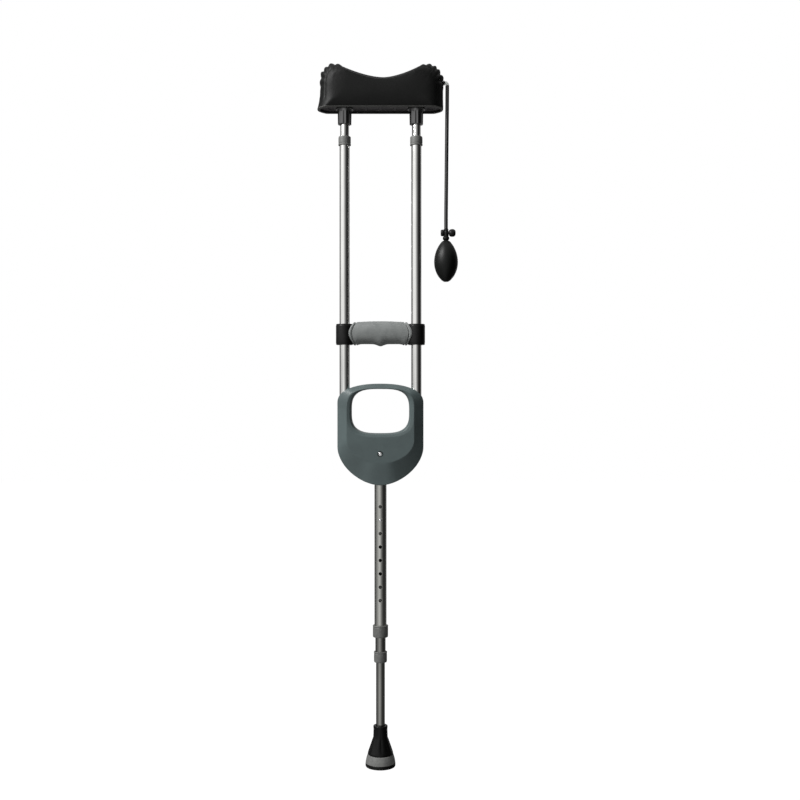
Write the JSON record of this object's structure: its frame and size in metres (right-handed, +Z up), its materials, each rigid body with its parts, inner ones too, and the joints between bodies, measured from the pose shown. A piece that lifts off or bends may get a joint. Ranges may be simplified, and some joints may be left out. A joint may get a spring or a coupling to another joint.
{
  "type": "underarm crutch",
  "caption": "Underarm crutch with an inflatable saddle pad, hand bulb, side tubes, contoured handgrip, windowed yoke and a telescoping leg on a rubber foot.",
  "frame": {"origin": "middle of the foot's sole, where the crutch stands on the ground", "axes": "+Z up along the leg to the pad, +X across the crutch towards the air hose, -Y towards the viewer, the side with the leg's button holes"},
  "size_m": [0.2629, 0.066, 1.3178],
  "materials": {
    "side_tube": "polished",
    "leg_tube": "satin",
    "steel": "plated",
    "yoke_plastic": "fine texture",
    "grey_plastic": "matte",
    "black_plastic": "satin",
    "grip_rubber": "matte",
    "black_rubber": "satin",
    "grey_rubber": "matte",
    "pad_skin": "soft sheen",
    "bladder_skin": "matte",
    "clear_plastic": "clear"
  },
  "bodies": {
    "frame": {"side_tube_left": "side_tube", "side_tube_right": "side_tube", "side_collar_left": "grey_plastic", "side_collar_right": "grey_plastic", "housing_front": "yoke_plastic", "housing_rear": "yoke_plastic", "housing_screw": "steel", "housing_nut": "steel", "rear_screw_1": "steel", "rear_screw_2": "steel", "rear_screw_3": "steel", "rear_screw_4": "steel", "leg_upper_tube": "leg_tube", "leg_upper_collar": "grey_plastic"},
    "pad": {"pad_cover": "pad_skin", "air_bladder": "bladder_skin", "pad_base_plate": "black_plastic", "pad_socket_left": "black_plastic", "pad_socket_right": "black_plastic", "pad_screw_left": "steel", "pad_screw_right": "steel", "upper_tube_left": "side_tube", "upper_tube_right": "side_tube", "air_nipple": "black_plastic"},
    "pad_button_left": {"pad_snap_button_left": "steel"},
    "pad_button_right": {"pad_snap_button_right": "steel"},
    "grip": {"handgrip": "grip_rubber", "grip_core": "black_plastic", "grip_clamp_left": "black_plastic", "grip_clamp_right": "black_plastic", "grip_screw_left": "steel", "grip_screw_right": "steel"},
    "latch_left": {"grip_latch_left": "black_plastic"},
    "latch_right": {"grip_latch_right": "black_plastic"},
    "middle_leg": {"leg_middle_tube": "leg_tube", "leg_lower_collar": "grey_plastic"},
    "leg_button": {"leg_snap_button": "steel"},
    "lower_leg": {"leg_lower_tube": "leg_tube", "foot_boot": "black_rubber", "foot_band": "grey_rubber", "foot_tread": "black_rubber", "foot_washer": "steel"},
    "lower_button": {"lower_snap_button": "steel"},
    "air_line": {"hose_elbow": "clear_plastic", "air_hose": "black_rubber", "release_valve_body": "black_plastic", "squeeze_bulb": "black_rubber", "bulb_inlet_valve": "black_plastic"},
    "valve_knob": {"release_valve_knob": "black_plastic"}
  },
  "joints": [
    {"name": "pad_height", "type": "slide", "parent": "frame", "child": "pad", "axis": [0, 0, 1], "range_m": [0, 0.1]},
    {"name": "pad_button_left_press", "type": "slide", "parent": "pad", "child": "pad_button_left", "axis": [0, -1, 0], "range_m": [0, 0.0024], "stiffness_N_per_m": 2000, "springref_m": -0.001, "deforming": ["pad_snap_button_left"]},
    {"name": "pad_button_right_press", "type": "slide", "parent": "pad", "child": "pad_button_right", "axis": [0, -1, 0], "range_m": [0, 0.0024], "stiffness_N_per_m": 2000, "springref_m": -0.001, "deforming": ["pad_snap_button_right"]},
    {"name": "grip_height", "type": "slide", "parent": "frame", "child": "grip", "axis": [0, 0, 1], "range_m": [0, 0.165]},
    {"name": "grip_latch_left_press", "type": "slide", "parent": "grip", "child": "latch_left", "axis": [1, 0, 0], "range_m": [0, 0.0026], "stiffness_N_per_m": 2000, "springref_m": -0.001, "deforming": ["grip_latch_left"]},
    {"name": "grip_latch_right_press", "type": "slide", "parent": "grip", "child": "latch_right", "axis": [-1, 0, 0], "range_m": [0, 0.0026], "stiffness_N_per_m": 2000, "springref_m": -0.001, "deforming": ["grip_latch_right"]},
    {"name": "leg_height", "type": "slide", "parent": "frame", "child": "middle_leg", "axis": [0, 0, -1], "range_m": [-0.025, 0.15]},
    {"name": "leg_button_press", "type": "slide", "parent": "middle_leg", "child": "leg_button", "axis": [0, 1, 0], "range_m": [0, 0.0024], "stiffness_N_per_m": 2000, "springref_m": -0.001, "deforming": ["leg_snap_button"]},
    {"name": "foot_height", "type": "slide", "parent": "middle_leg", "child": "lower_leg", "axis": [0, 0, 1], "range_m": [0, 0.1]},
    {"name": "lower_button_press", "type": "slide", "parent": "lower_leg", "child": "lower_button", "axis": [0, 1, 0], "range_m": [0, 0.0024], "stiffness_N_per_m": 2000, "springref_m": -0.001, "deforming": ["lower_snap_button"]},
    {"name": "hose_swing", "type": "hinge", "parent": "pad", "child": "air_line", "pos_m": [0.1191, 0, 1.2799], "axis": [1, 0, 0], "range_deg": [-90, 90]},
    {"name": "release_valve_turn", "type": "hinge", "parent": "air_line", "child": "valve_knob", "pos_m": [0.1229, 0, 0.9997], "axis": [1, 0, 0], "range_deg": [0, 360]}
  ]
}
